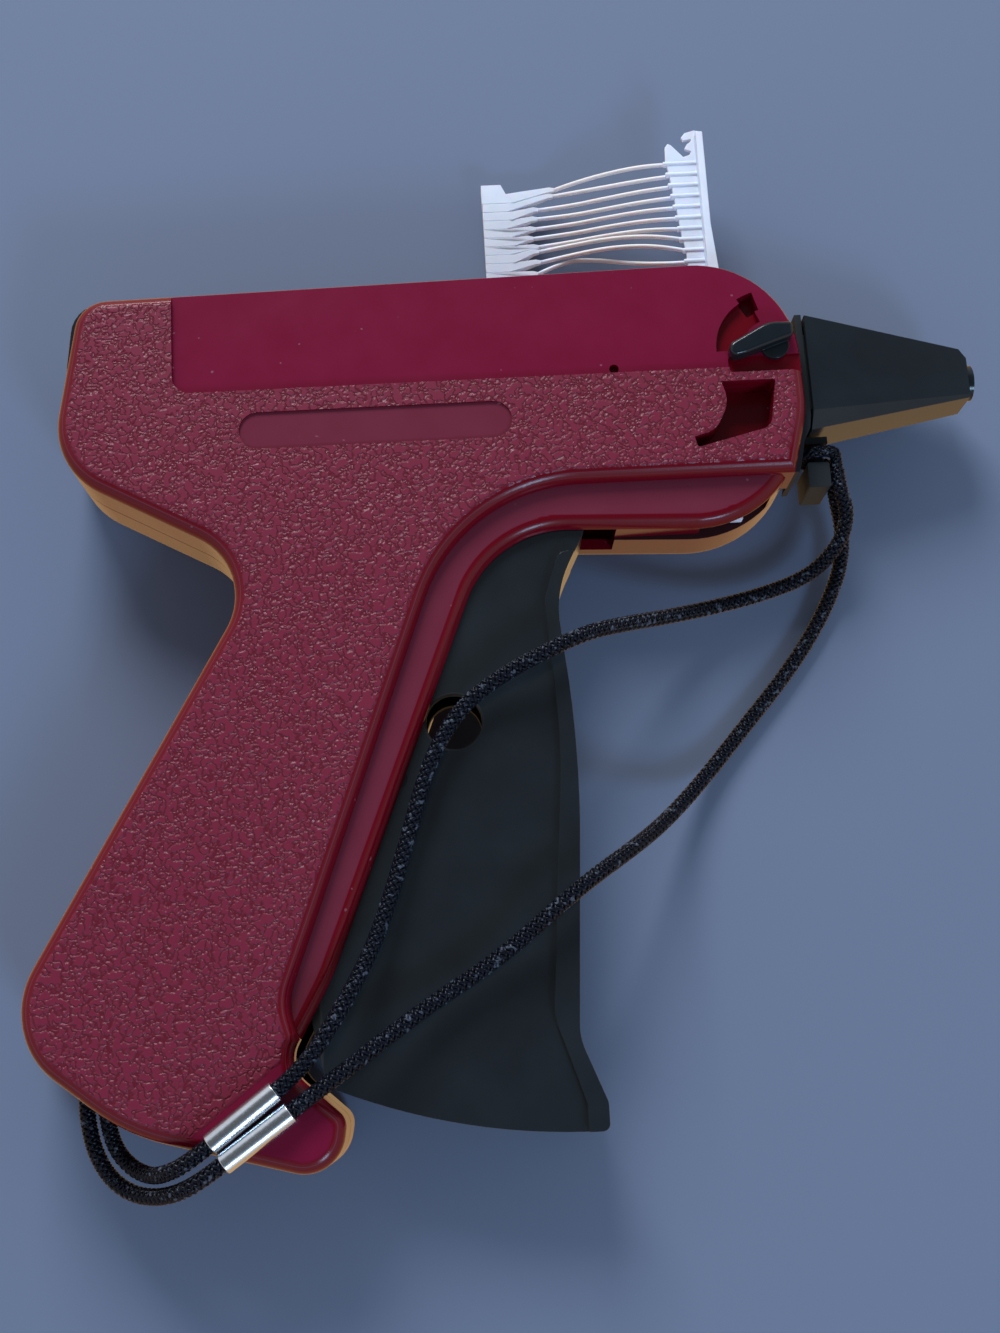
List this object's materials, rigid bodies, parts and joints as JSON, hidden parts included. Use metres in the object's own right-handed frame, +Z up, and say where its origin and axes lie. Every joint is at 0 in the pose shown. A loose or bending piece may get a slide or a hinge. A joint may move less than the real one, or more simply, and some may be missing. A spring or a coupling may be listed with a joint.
{
  "type": "garment tag attacher",
  "caption": "Hand-held trigger gun that shoots plastic garment-tag fasteners through a hollow needle, with a needle guard and a wrist lanyard.",
  "frame": {"origin": "on the face that the gun lies on, in line with the trigger's pin", "axes": "+X along the needle towards its tip, +Y towards the top edge where the fastener clip stands out, +Z up out of the side it lies on"},
  "size_m": [0.1703, 0.1904, 0.0258],
  "materials": {
    "casing": "leather-grained crimson plastic, smooth on the panel and the edges",
    "black_plastic": "smooth black plastic",
    "inner_plastic": "plain off-white plastic",
    "clip_plastic": "translucent white plastic",
    "steel": "plain steel",
    "ferrule": "crimped aluminium",
    "cord": "braided black cord with pale flecks"
  },
  "bodies": {
    "casing": {"upper_shell": "casing", "lower_shell": "casing", "casing_screws": "steel", "rear_corner_insert": "black_plastic", "front_frame": "black_plastic", "needle_base": "clip_plastic", "needle": "steel", "trigger_pin": "steel", "drive_lever_pin": "steel", "slider_guide": "inner_plastic", "return_spring": "steel", "feed_frame": "inner_plastic", "feed_wheel_axle": "steel", "lanyard_strand_a": "cord", "lanyard_strand_b": "cord", "loop_cord_a": "cord", "loop_cord_b": "cord", "ferrule_a": "ferrule", "ferrule_b": "ferrule", "lanyard_hitch": "cord", "lanyard_anchor": "black_plastic"},
    "trigger_arm": {"trigger": "black_plastic", "cross_pin": "steel"},
    "lever": {"drive_lever": "inner_plastic"},
    "pusher": {"slider": "inner_plastic", "slider_pin": "steel", "pusher_rod": "steel"},
    "lock": {"lock_lever": "black_plastic"},
    "guard": {"needle_guard": "black_plastic"},
    "clip": {"fastener_clip": "clip_plastic", "clip_runner": "clip_plastic"},
    "wheel": {"feed_wheel": "inner_plastic"}
  },
  "joints": [
    {"name": "trigger_squeeze", "type": "hinge", "parent": "casing", "child": "trigger_arm", "pos_m": [0, 0, 0.0111], "axis": [0, 0, -1], "range_deg": [0, 18], "stiffness_Nm_per_rad": 2, "springref_deg": -6.88},
    {"name": "lever_turn", "type": "hinge", "parent": "casing", "child": "lever", "pos_m": [-0.042, -0.027, 0.0111], "axis": [0, 0, -1], "range_deg": [0, 52], "deforming": ["return_spring"]},
    {"name": "pusher_slide", "type": "slide", "parent": "casing", "child": "pusher", "axis": [1, 0, 0], "range_m": [0, 0.0447]},
    {"name": "lock_turn", "type": "hinge", "parent": "casing", "child": "lock", "pos_m": [0.0394, 0.0234, 0.0111], "axis": [0, 0, 1], "range_deg": [-60, 0]},
    {"name": "guard_pull", "type": "slide", "parent": "casing", "child": "guard", "axis": [1, 0, 0], "range_m": [0, 0.032]},
    {"name": "clip_feed", "type": "slide", "parent": "casing", "child": "clip", "axis": [0, -1, 0], "range_m": [-0.045, 0]},
    {"name": "wheel_turn", "type": "hinge", "parent": "casing", "child": "wheel", "pos_m": [0.026, 0.0233, 0.01396], "axis": [-1, 0, 0], "range_deg": [-901, 1]}
  ],
  "couplings": [
    {"joint": "lever_turn", "follows": "trigger_squeeze", "ratio": 2.8889},
    {"joint": "pusher_slide", "follows": "trigger_squeeze", "m_per_rad": 0.14228},
    {"joint": "wheel_turn", "follows": "clip_feed", "rad_per_m": 349.07}
  ]
}
